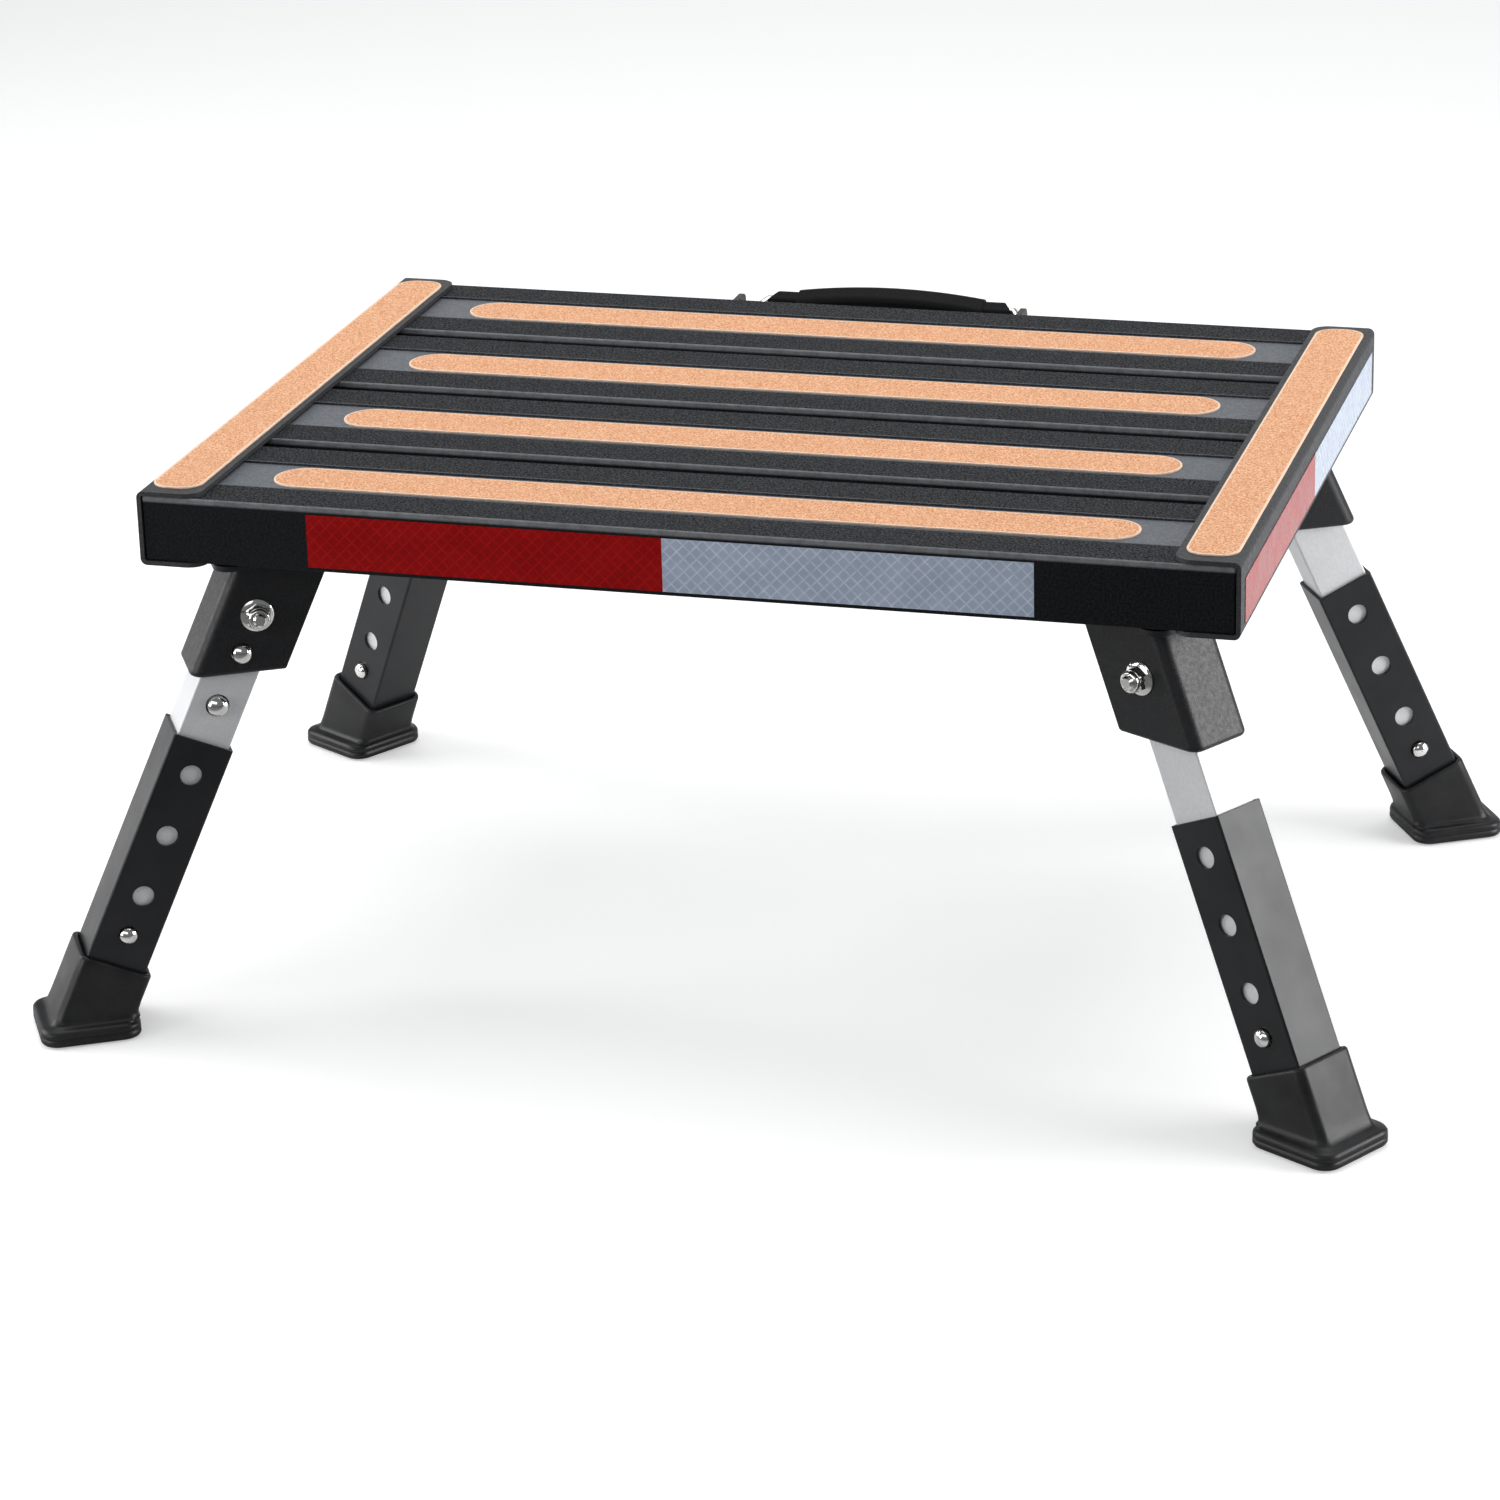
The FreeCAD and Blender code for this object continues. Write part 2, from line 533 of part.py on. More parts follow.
def make_legs():
    bracket = make_bracket()
    tube = splay(make_tube())
    sleeve = splay(make_sleeve())
    foot = make_foot()
    lock = splay(make_lock_button())
    height = splay(make_height_button())
    snap_out = splay(make_snap_button(1))
    snap_in = splay(make_snap_button(-1))
    stop = splay(make_stop_pad())
    bolts, nuts, washers, rivets, shims, stops = [], [], [], [], [], []
    for corner, (_, _, _, nut_side) in CORNERS.items():
        parts["leg_bracket_" + corner] = at_corner(bracket, corner)
        parts["inner_tube_" + corner] = at_corner(tube, corner)
        parts["sleeve_" + corner] = at_corner(sleeve, corner)
        parts["foot_" + corner] = at_corner(foot, corner)
        parts["fold_lock_button_" + corner] = at_corner(lock, corner)
        parts["height_button_" + corner] = at_corner(height, corner)
        parts["snap_button_a_" + corner] = at_corner(snap_out, corner)
        parts["snap_button_b_" + corner] = at_corner(snap_in, corner)
        for shape, kept in ((make_bolt(), bolts), (make_nut(), nuts)):
            if nut_side < 0:
                shape = shape.mirror(V(0, 0, 0), Y_AXIS)
            kept.append(at_corner(shape, corner))
        washers += [at_corner(make_washer(side), corner) for side in (-1, 1)]
        shims.append(at_corner(make_shim(), corner))
        stops.append(at_corner(stop, corner))
        length = EAR_SHEET + SHEET + PLANK_WALL
        for x, y in plate_holes():
            rivets.append(at_corner(rivet_down(x, y, PLATE_BOTTOM, length), corner))
    parts["pivot_bolts"] = group(bolts)
    parts["pivot_nuts"] = group(nuts)
    parts["pivot_washers"] = group(washers)
    parts["bracket_rivets"] = group(rivets)
    parts["bracket_shims"] = group(shims)
    parts["leg_stop_pads"] = group(stops)


def drill_bracket_rivets():
    """Matching holes for the bracket rivets in the planks."""
    for corner, (_, side_y, _, _) in CORNERS.items():
        plank = "deck_plank_" + ("front" if side_y < 0 else "rear")
        for x, y in plate_holes():
            hole = rod(RIVET_R + 0.1, V(x, y, PLATE_TOP), V(x, y, PLATE_TOP + 6))
            parts[plank] = parts[plank].cut(at_corner(hole, corner))


# ---- carry handle ---------------------------------------------------------------------------
# Drawn with the pivot's axis on the X axis and the bail lying along +Y, then tilted and moved.
def place_handle(shape):
    shape.rotate(V(0, 0, 0), X_AXIS, HANDLE_TILT)
    shape.translate(V(0, HANDLE_Y, DECK_TOP - HANDLE_BELOW_TOP))
    return shape


def make_bail():
    """Chromed wire: pivot ends that point outwards, arms that draw in and a bar through the grip."""
    half = [V(BAIL_TIP_X, 0, 0), V(BAIL_PIVOT_X, 0, 0), V(BAIL_PIVOT_X, BAIL_KNEE, 0),
            V(BAIL_SHOULDER_X, HANDLE_REACH, 0), V(GRIP_HALF, HANDLE_REACH, 0)]
    points = half + [V(-p.x, p.y, p.z) for p in reversed(half)]
    wire = rod(BAIL_R, points[0], points[1])
    for start, end in zip(points[1:], points[2:]):
        wire = wire.fuse(Part.makeSphere(BAIL_R, start)).fuse(rod(BAIL_R, start, end))
    return place_handle(wire.removeSplitter())


def grip_collar():
    """The narrower end of the grip, cut off parallel to the bail's arm."""
    slope = (BAIL_PIVOT_X - BAIL_SHOULDER_X) / (HANDLE_REACH - BAIL_KNEE)
    near = HANDLE_REACH - 4.6
    far = HANDLE_REACH + 4.6
    inner = GRIP_HALF - GRIP_COLLAR - 1
    outline = [V(inner, near, -7.4), V(GRIP_HALF + 4.6 * slope - 0.8, near, -7.4),
               V(GRIP_HALF - 4.6 * slope - 0.8, far, -7.4), V(inner, far, -7.4)]
    return fillet(prism(outline, V(0, 0, 10.6)), 2.6, lambda e: runs_along(e, X_AXIS))


def make_grip():
    """Moulded grip: a bowed body whose ends fall to two narrower collars."""
    body_half = GRIP_HALF - GRIP_COLLAR
    deep = 6.5
    high = 7.8
    low = -6.0
    top_end = high - GRIP_SAG
    low_end = low - GRIP_SAG
    arc_top = Part.Arc(V(-body_half, 0, top_end), V(0, 0, high), V(body_half, 0, top_end))
    arc_low = Part.Arc(V(body_half, 0, low_end), V(0, 0, low), V(-body_half, 0, low_end))
    right = Part.LineSegment(V(body_half, 0, top_end), V(body_half, 0, low_end))
    left = Part.LineSegment(V(-body_half, 0, low_end), V(-body_half, 0, top_end))
    outline = Part.Wire([arc_top.toShape(), right.toShape(), arc_low.toShape(), left.toShape()])
    body = Part.Face(outline).extrude(V(0, 2 * deep, 0))
    body.translate(V(0, HANDLE_REACH - deep, 0))
    long_edges = lambda e: abs(middle(e).x) < 1 and e.Length > 2 * body_half - 5
    body = fillet(body, 4.0, long_edges)
    collar = grip_collar()
    body = body.fuse(collar).fuse(collar.mirror(V(0, 0, 0), X_AXIS))
    bar = rod(BAIL_R, V(-GRIP_HALF - 4, HANDLE_REACH, 0), V(GRIP_HALF + 4, HANDLE_REACH, 0))
    return place_handle(body.cut(bar))


def make_handle_brackets():
    """A plate on the rear plank with an ear that carries the end of the bail."""
    brackets = []
    rear = PLANK_FACE
    top = DECK_TOP - HANDLE_PLATE_TOP
    high = (top - HANDLE_PLATE_HIGH, top)
    ear_high = (high[0], DECK_TOP - HANDLE_EAR_TOP)
    pivot = DECK_TOP - HANDLE_BELOW_TOP
    for side in (-1, 1):
        plate = box((HANDLE_EAR_X, HANDLE_EAR_X + HANDLE_PLATE_WIDE), (rear, rear + HANDLE_EAR_THICK), high)
        plate = fillet(plate, 4.0, lambda e: runs_along(e, Y_AXIS) and middle(e).x > HANDLE_EAR_X + 1)
        ear = box((HANDLE_EAR_X, HANDLE_EAR_X + HANDLE_EAR_THICK), (rear, HANDLE_Y + 7), ear_high)
        ear = fillet(ear, 4.0, lambda e: runs_along(e, X_AXIS) and middle(e).y > rear + 1)
        bracket = plate.fuse(ear).removeSplitter()
        bracket = bracket.cut(rod(BAIL_R + BOLT_FIT, V(60, HANDLE_Y, pivot), V(80, HANDLE_Y, pivot)))
        for x, z in handle_screw_spots():
            bracket = bracket.cut(rod(2.1, V(x, rear - 1, z), V(x, rear + 5, z)))
        brackets.append(bracket if side > 0 else bracket.mirror(V(0, 0, 0), X_AXIS))
    return group(brackets)


def handle_screw_spots():
    x = HANDLE_EAR_X + 15.0
    top = DECK_TOP - HANDLE_PLATE_TOP
    return [(x, top - 5.5), (x, top - HANDLE_PLATE_HIGH + 5.5)]


def make_handle_screws():
    """Pan-head screws with a hexagon socket through the handle brackets into the rear plank."""
    screws = []
    seat = PLANK_FACE + HANDLE_EAR_THICK
    for side in (-1, 1):
        for x, z in handle_screw_spots():
            screw = domed_pin(3.8, seat, seat + 0.8, seat + 2.6)
            screw = screw.cut(hexagon(2.5, seat + 1.2, 3.0))
            screw = screw.fuse(rod(2.0, V(0, seat, 0), V(0, PLANK_FACE - PLANK_WALL - 3, 0)))
            screw.translate(V(side * x, 0, z))
            screws.append(screw)
    return group(screws)


def drill_handle_screws():
    rear = PLANK_FACE
    for side in (-1, 1):
        for x, z in handle_screw_spots():
            hole = rod(2.1, V(side * x, rear - PLANK_WALL - 1, z), V(side * x, rear + 1, z))
            parts["deck_plank_rear"] = parts["deck_plank_rear"].cut(hole)


def make_handle():
    parts["handle_bail"] = make_bail()
    parts["handle_grip"] = make_grip()
    parts["handle_brackets"] = make_handle_brackets()
    parts["handle_screws"] = make_handle_screws()


make_platform()
make_legs()
make_handle()
drill_bracket_rivets()
drill_handle_screws()

os.makedirs("parts", exist_ok=True)
for name, shape in parts.items():
    shape.exportStep(os.path.join("parts", name + ".step"))
print(len(parts), "nodes")
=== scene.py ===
"""Looks of the tailgate step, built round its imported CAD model. Metres, in the CAD model's frame."""
import math

import bpy
from mathutils import Matrix, Vector


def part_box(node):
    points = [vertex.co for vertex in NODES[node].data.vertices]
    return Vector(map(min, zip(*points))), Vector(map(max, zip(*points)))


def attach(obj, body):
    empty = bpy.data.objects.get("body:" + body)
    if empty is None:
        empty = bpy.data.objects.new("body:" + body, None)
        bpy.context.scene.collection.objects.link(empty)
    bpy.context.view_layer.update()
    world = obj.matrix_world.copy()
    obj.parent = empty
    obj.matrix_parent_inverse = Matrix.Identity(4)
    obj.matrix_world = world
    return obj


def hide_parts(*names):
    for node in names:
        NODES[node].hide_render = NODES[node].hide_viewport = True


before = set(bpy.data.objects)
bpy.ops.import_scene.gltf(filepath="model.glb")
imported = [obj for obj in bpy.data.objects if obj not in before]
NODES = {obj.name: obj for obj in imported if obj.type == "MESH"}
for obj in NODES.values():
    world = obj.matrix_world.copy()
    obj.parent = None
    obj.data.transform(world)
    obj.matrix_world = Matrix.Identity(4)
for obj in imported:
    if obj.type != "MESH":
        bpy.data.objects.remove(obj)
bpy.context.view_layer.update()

# the way each leg leans, in degrees from +X, and the side of the middle that its corner is on
CORNERS = {"front_left": 210.0, "front_right": -30.0, "rear_left": 150.0, "rear_right": 30.0}
SIGNS = {"front_left": (-1, -1), "front_right": (1, -1), "rear_left": (-1, 1), "rear_right": (1, 1)}
SPLAY = math.radians(24.5)         # lean of an open leg from upright
PIVOT = (0.205, 0.140, 0.1925)     # a leg's hinge, mirrored to each corner
EAR_OUT = 0.0175                   # outside of a bracket's ear from the leg's mid plane
PLANK_TOP = 0.250
PLANK_HALF = 0.0389                # half a plank's width
RECESS_HALF = 0.0170               # half the width of the recess along each plank
END_GRIP_CORNER = 0.009            # corner radius of the abrasive strips on the end channels


# ---- shader helpers -------------------------------------------------------------------------
class Shader:
    """A material with one Principled BSDF and short ways to add nodes to it."""

    def __init__(self, name, colour, roughness, metallic=0.0, **sockets):
        self.material = bpy.data.materials.new(name)
        self.material.use_nodes = True
        self.tree = self.material.node_tree
        self.bsdf = self.tree.nodes["Principled BSDF"]
        self.put(self.bsdf, "Base Color", (*colour, 1.0))
        self.put(self.bsdf, "Roughness", roughness)
        self.put(self.bsdf, "Metallic", metallic)
        for socket, value in sockets.items():
            self.put(self.bsdf, socket.replace("_", " "), value)
        self.place = self.tree.nodes.new("ShaderNodeTexCoord").outputs["Object"]

    def put(self, node, socket, value):
        """Set a socket to a number or colour, or link another node's output to it."""
        target = node.inputs[socket]
        if isinstance(value, bpy.types.NodeSocket):
            self.tree.links.new(value, target)
        else:
            target.default_value = value

    def node(self, kind, **sockets):
        made = self.tree.nodes.new("ShaderNode" + kind)
        for socket, value in sockets.items():
            self.put(made, socket.replace("_", " "), value)
        return made

    def math(self, operation, a, b=0.0, c=0.0):
        made = self.tree.nodes.new("ShaderNodeMath")
        made.operation = operation
        for index, value in enumerate((a, b, c)):
            self.put(made, index, value)
        return made.outputs[0]

    def axes(self):
        """Object coordinates x, y and z as three outputs."""
        parts = self.node("SeparateXYZ", Vector=self.place)
        return parts.outputs[0], parts.outputs[1], parts.outputs[2]

    def turned(self, rotation, scale):
        """Object coordinates turned by an Euler rotation and scaled, as a vector output."""
        made = self.node("Mapping", Vector=self.place, Rotation=rotation)
        stretched = self.node("Mapping", Vector=made.outputs[0], Scale=scale)
        return stretched.outputs[0]

    def noise(self, scale, detail=2.0, roughness=0.5, vector=None):
        made = self.node("TexNoise", Vector=vector or self.place, Scale=scale, Detail=detail)
        self.put(made, "Roughness", roughness)
        return made.outputs["Fac"]

    def ramp(self, value, low, high, out_low=0.0, out_high=1.0):
        """Map low..high to out_low..out_high, clamped."""
        made = self.node("MapRange", Value=value)
        made.clamp = True
        sockets = ("From Min", "From Max", "To Min", "To Max")
        for socket, number in zip(sockets, (low, high, out_low, out_high)):
            self.put(made, socket, number)
        return made.outputs[0]

    def mix(self, factor, a, b):
        """Blend two colours: a at factor 0, b at factor 1."""
        made = self.tree.nodes.new("ShaderNodeMix")
        made.data_type = "RGBA"
        self.put(made, 0, factor)
        for index, value in ((6, a), (7, b)):
            self.put(made, index, value if isinstance(value, bpy.types.NodeSocket) else (*value, 1.0))
        return made.outputs[2]

    def bump(self, height, distance, strength=1.0, under=None):
        """Relief from a height, on top of another bump where one is given."""
        made = self.node("Bump", Height=height, Distance=distance, Strength=strength)
        if under is not None:
            self.put(made, "Normal", under)
        return made.outputs[0]

    def set(self, **sockets):
        """Set the main shader's sockets and give back the finished material."""
        for socket, value in sockets.items():
            self.put(self.bsdf, socket.replace("_", " "), value)
        return self.material


def powder_coat(name, dark, light, grain=1500.0, rough=(0.42, 0.60), deep=0.00012, specular=0.4):
    """Textured powder coat: fine pebbles, with some of them catching the light."""
    s = Shader(name, dark, 0.5, Specular_IOR_Level=specular)
    fine = s.noise(grain, 3.0, 0.6)
    coarse = s.noise(grain * 0.35, 2.0)
    cloud = s.noise(14.0, 3.0)
    speck = s.ramp(fine, 0.52, 0.72)
    colour = s.mix(speck, dark, light)
    wear_and_highlight_patches = [min(1.0, c * 1.25) for c in dark]
    colour = s.mix(s.ramp(cloud, 0.35, 0.75, 0.0, 0.35), colour, wear_and_highlight_patches)
    pebbles = s.bump(fine, deep, 0.9)
    pebbles = s.bump(coarse, deep * 1.5, 0.5, pebbles)
    return s.set(Base_Color=colour, Roughness=s.ramp(coarse, 0.3, 0.7, *rough), Normal=pebbles)


def satin_black(name, colour, rough, rotation=None, specular=0.5):
    """Smooth black coating with faint draw lines along the part, slight clouding and dust."""
    s = Shader(name, colour, 0.35, Specular_IOR_Level=specular)
    if rotation:
        lines = s.noise(1.0, 3.0, 0.6, s.turned(rotation, (2200.0, 2200.0, 18.0)))
    else:
        lines = s.noise(1400.0, 2.0)
    cloud = s.noise(35.0, 4.0, 0.6)
    dust = s.ramp(s.noise(420.0, 3.0, 0.7), 0.62, 0.80)
    paler = [min(1.0, c * 1.7 + 0.004) for c in colour]
    tone = s.mix(s.ramp(cloud, 0.35, 0.7, 0.0, 0.5), colour, paler)
    tone = s.mix(s.math("MULTIPLY", dust, 0.25), tone, [c + 0.03 for c in colour])
    roughness = s.math("ADD", s.ramp(cloud, 0.3, 0.7, *rough), s.math("MULTIPLY", lines, 0.06))
    normal = s.bump(lines, 0.00002, 0.6)
    return s.set(Base_Color=tone, Roughness=roughness, Normal=normal)


def drawn_aluminium(name, rotation):
    """Satin extruded aluminium with long fine lines, scuffs and slight staining."""
    s = Shader(name, (0.78, 0.79, 0.80), 0.4, 0.25)
    lines = s.noise(1.0, 4.0, 0.65, s.turned(rotation, (2600.0, 2600.0, 9.0)))
    scuff = s.ramp(s.noise(1.0, 3.0, 0.7, s.turned(rotation, (900.0, 900.0, 60.0))), 0.60, 0.78)
    cloud = s.noise(40.0, 4.0, 0.6)
    tone = s.mix(s.ramp(lines, 0.3, 0.7), (0.66, 0.67, 0.685), (0.80, 0.805, 0.815))
    tone = s.mix(s.ramp(cloud, 0.4, 0.75, 0.0, 0.35), tone, (0.60, 0.61, 0.63))
    tone = s.mix(s.math("MULTIPLY", scuff, 0.22), tone, (0.50, 0.51, 0.53))
    rough = s.math("ADD", s.ramp(lines, 0.3, 0.7, 0.44, 0.56), s.math("MULTIPLY", scuff, 0.12))
    return s.set(Base_Color=tone, Roughness=rough, Normal=s.bump(lines, 0.00002, 0.7))


def nickel(name):
    """Bright plating with faint orange peel, fingerprints and fine scratches."""
    s = Shader(name, (0.86, 0.85, 0.83), 0.1, 1.0)
    peel = s.noise(900.0, 2.0)
    smear = s.noise(160.0, 4.0, 0.65)
    scratch = s.ramp(s.noise(1.0, 3.0, 0.7, s.turned((0.4, 0.9, 0.3), (300.0, 5200.0, 300.0))), 0.66, 0.74)
    tone = s.mix(s.ramp(smear, 0.4, 0.7, 0.0, 0.5), (0.95, 0.94, 0.92), (0.80, 0.78, 0.75))
    rough = s.math("ADD", s.ramp(smear, 0.35, 0.7, 0.05, 0.16), s.math("MULTIPLY", scratch, 0.15))
    return s.set(Base_Color=tone, Roughness=rough, Normal=s.bump(peel, 0.00001, 0.5))


def moulded_rubber(name):
    """Matt black rubber: fine spark texture, mould bloom and a little ground-in dust."""
    s = Shader(name, (0.012, 0.012, 0.013), 0.5, Specular_IOR_Level=0.32)
    _, _, z = s.axes()
    grain = s.noise(2600.0, 2.0, 0.6)
    bloom = s.noise(60.0, 4.0, 0.6)
    dust = s.ramp(s.noise(700.0, 3.0, 0.7), 0.58, 0.74)
    near_floor = s.ramp(z, 0.001, 0.006, 1.0, 0.0)
    tone = s.mix(s.ramp(bloom, 0.35, 0.7), (0.007, 0.007, 0.008), (0.015, 0.0155, 0.0165))
    dusty = s.math("MULTIPLY", dust, s.math("ADD", 0.06, s.math("MULTIPLY", near_floor, 0.18)))
    tone = s.mix(dusty, tone, (0.11, 0.105, 0.10))
    return s.set(Base_Color=tone, Roughness=s.ramp(bloom, 0.3, 0.7, 0.34, 0.46),
                 Normal=s.bump(grain, 0.00005, 0.5))


def abrasive(name, centre, half, corner):
    """Orange anti-slip tape: bonded grit with a paler cut edge round a rectangle of rounded corners."""
    s = Shader(name, (0.80, 0.33, 0.13), 0.8, Specular_IOR_Level=0.4)
    x, y, _ = s.axes()
    grit = s.node("TexVoronoi", Vector=s.place, Scale=760.0)
    fine = s.noise(1150.0, 4.0, 0.75)
    patch = s.noise(120.0, 4.0, 0.6)
    tone = s.mix(s.ramp(fine, 0.38, 0.61), (0.60, 0.17, 0.046), (1.0, 0.66, 0.41))
    sparkle = s.ramp(grit.outputs["Distance"], 0.0, 0.22, 1.0, 0.0)
    tone = s.mix(s.math("MULTIPLY", sparkle, 0.75), tone, (1.0, 0.86, 0.70))
    tone = s.mix(s.ramp(patch, 0.45, 0.75, 0.0, 0.25), tone, (0.66, 0.27, 0.11))
    beyond = []
    for value, middle, reach in ((x, centre[0], half[0]), (y, centre[1], half[1])):
        away = s.math("ABSOLUTE", s.math("SUBTRACT", value, middle))
        beyond.append(s.math("SUBTRACT", away, reach - corner))
    outside = [s.math("MAXIMUM", b, 0.0) for b in beyond]
    round_part = s.math("SQRT", s.math("ADD", s.math("MULTIPLY", outside[0], outside[0]),
                                       s.math("MULTIPLY", outside[1], outside[1])))
    flat_part = s.math("MINIMUM", s.math("MAXIMUM", beyond[0], beyond[1]), 0.0)
    from_edge = s.math("SUBTRACT", s.math("ADD", round_part, flat_part), corner)
    ragged = s.math("ADD", from_edge, s.math("MULTIPLY", s.math("SUBTRACT", fine, 0.5), 0.0005))
    rim = s.ramp(ragged, -0.0011, -0.0007)
    tone = s.mix(s.math("MULTIPLY", rim, 0.75), tone, (1.0, 0.80, 0.64))
    rough = s.bump(fine, 0.0005, 1.0)
    rough = s.bump(grit.outputs["Distance"], 0.0004, 0.8, rough)
    return s.set(Base_Color=tone, Normal=rough)


def prismatic_tape(name, deep, bright, sealed):
    """Retro-reflective tape: rows of tiny prisms under a clear film that is sealed down along a lattice."""
    cell_size, prism_size = 0.0029, 0.00055
    s = Shader(name, deep, 0.25, Coat_Weight=0.35, Coat_Roughness=0.12, Specular_IOR_Level=0.15)
    x, y, z = s.axes()
    along = s.math("ADD", x, y)
    edges = []
    shades = []
    for sign in (1.0, -1.0):
        line = s.math("MULTIPLY_ADD", z, sign, along)
        edges.append(s.ramp(s.math("PINGPONG", line, cell_size), 0.0, 0.0008, 1.0, 0.0))
        shades.append(s.math("PINGPONG", line, prism_size))
    seam = s.math("MAXIMUM", edges[0], edges[1])
    prisms = s.ramp(s.math("ADD", shades[0], shades[1]), 0.0002, 0.0009)
    cell = s.noise(70.0, 2.0)
    tone = s.mix(s.ramp(cell, 0.35, 0.70, 0.0, 0.6), deep, bright)
    tone = s.mix(s.math("MULTIPLY", prisms, 0.45), tone, bright)
    patchy = s.ramp(s.noise(260.0, 3.0, 0.6), 0.30, 0.65, 0.15, 0.60)
    tone = s.mix(s.math("MULTIPLY", seam, patchy), tone, sealed)
    normal = s.bump(seam, 0.00006, 0.7)
    normal = s.bump(s.noise(60.0, 2.0), 0.0002, 0.15, normal)
    return s.set(Base_Color=tone, Roughness=s.ramp(cell, 0.3, 0.7, 0.22, 0.32), Normal=normal)


def plank_coat(name, y):
    """Coat of the plank centred at y: pebbled treads, a smoother and paler recess, and painted highlights
    along the long top edges and the lips of the recess.
    """
    s = Shader(name, (0.02, 0.02, 0.02), 0.5, Specular_IOR_Level=0.18)
    _, across, height = s.axes()
    away = s.math("ABSOLUTE", s.math("SUBTRACT", across, y))
    top = s.ramp(height, PLANK_TOP - 0.003, PLANK_TOP - 0.002)
    recess = s.math("MULTIPLY", s.ramp(away, RECESS_HALF - 0.0004, RECESS_HALF + 0.0001, 1.0, 0.0), top)
    # masks for the painted edge highlights: pale lines along the long top edges and just outside the
    # recess's edges
    long_edge_highlight = s.math("MULTIPLY", s.ramp(away, PLANK_HALF - 0.0007, PLANK_HALF - 0.0004), top)
    lip_highlight_inner = s.ramp(away, RECESS_HALF, RECESS_HALF + 0.0002)
    lip_highlight_outer = s.ramp(away, RECESS_HALF + 0.0006, RECESS_HALF + 0.0009, 1.0, 0.0)
    lip_highlight = s.math("MULTIPLY", s.math("MULTIPLY", lip_highlight_inner, lip_highlight_outer), top)
    fine = s.noise(980.0, 3.0, 0.65)
    coarse = s.noise(330.0, 2.0)
    cloud = s.noise(16.0, 3.0)
    pebbled = s.math("MULTIPLY", s.ramp(fine, 0.40, 0.66), s.ramp(top, 0.0, 1.0, 0.35, 1.0))
    tread = s.mix(pebbled, (0.002, 0.0022, 0.003), (0.034, 0.037, 0.043))
    tread = s.mix(s.ramp(cloud, 0.35, 0.75, 0.0, 0.3), tread, (0.014, 0.0155, 0.019))
    smooth = s.mix(s.ramp(s.noise(1300.0, 2.0), 0.35, 0.65), (0.098, 0.107, 0.121), (0.156, 0.168, 0.187))
    tone = s.mix(recess, tread, smooth)
    glitter = s.math("MULTIPLY", s.ramp(fine, 0.42, 0.62, -0.12, 0.20), top)
    shine = s.math("ADD", s.math("ADD", glitter, 0.14), s.math("MULTIPLY", recess, 0.10))
    # painted highlights: pale tones laid along the long top edges and the recess lips, broken into patches
    # by noise
    wear_and_highlight_patches = s.ramp(s.noise(240.0, 3.0, 0.6), 0.30, 0.62, 0.70, 1.0)
    tone = s.mix(s.math("MULTIPLY", long_edge_highlight, wear_and_highlight_patches), tone, (0.215, 0.220, 0.230))
    tone = s.mix(s.math("MULTIPLY", lip_highlight, s.math("MULTIPLY", wear_and_highlight_patches, 0.8)), tone, (0.150, 0.156, 0.166))
    rough = s.math("SUBTRACT", s.ramp(coarse, 0.3, 0.7, 0.50, 0.66), s.math("MULTIPLY", recess, 0.12))
    height_map = s.math("MULTIPLY", fine, s.math("SUBTRACT", 1.0, s.math("MULTIPLY", recess, 0.8)))
    return s.set(Base_Color=tone, Roughness=rough, Specular_IOR_Level=shine,
                 Normal=s.bump(height_map, 0.00030, 1.0))


# ---- geometry helpers -----------------------------------------------------------------------
def dress(node, material, bevel=0.0, segments=2, crisp=False):
    """Give a CAD node its finish and round its sharp edges; crisp parts its facets instead."""
    obj = NODES[node]
    obj.data.materials.clear()
    obj.data.materials.append(material)
    weld = obj.modifiers.new("weld", "WELD")
    weld.merge_threshold = 0.00001
    if bevel:
        flat = obj.modifiers.new("merge_flat", "DECIMATE")
        flat.decimate_type = "DISSOLVE"
        flat.angle_limit = math.radians(0.5)
        soft = obj.modifiers.new("soften", "BEVEL")
        soft.width = bevel
        soft.segments = segments
        soft.limit_method = "ANGLE"
        soft.angle_limit = math.radians(40)
        soft.use_clamp_overlap = True
    if crisp:
        split = obj.modifiers.new("facets", "EDGE_SPLIT")
        split.split_angle = math.radians(18)
    else:
        normals = obj.modifiers.new("normals", "WEIGHTED_NORMAL")
        normals.keep_sharp = True
    for face in obj.data.polygons:
        face.use_smooth = True


def mesh_object(name, verts, faces, material, body):
    """A smooth-shaded piece that rides on a body of the CAD model."""
    mesh = bpy.data.meshes.new(name)
    mesh.from_pydata([tuple(v) for v in verts], [], faces)
    mesh.validate()
    obj = bpy.data.objects.new(name, mesh)
    bpy.context.scene.collection.objects.link(obj)
    mesh.materials.append(material)
    for face in mesh.polygons:
        face.use_smooth = True
    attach(obj, body)
    return obj


def corner_frame(corner):
    """Matrix from a leg's own frame (X out, Y along the hinge, Z up, pivot at 0) to the part's."""
    sx, sy = SIGNS[corner]
    place = Matrix.Translation((sx * PIVOT[0], sy * PIVOT[1], PIVOT[2]))
    return place @ Matrix.Rotation(math.radians(CORNERS[corner]), 4, "Z")


def rounded_square(half, radius, steps):
    """Corner points of a square with rounded corners, anticlockwise from +X."""
    points = []
    for quarter in range(4):
        middle = math.radians(45 + 90 * quarter)
        cx = math.copysign(half - radius, math.cos(middle))
        cy = math.copysign(half - radius, math.sin(middle))
        for i in range(steps + 1):
            a = math.radians(90 * quarter + 90 * i / steps)
            points.append((cx + radius * math.cos(a), cy + radius * math.sin(a)))
    return points


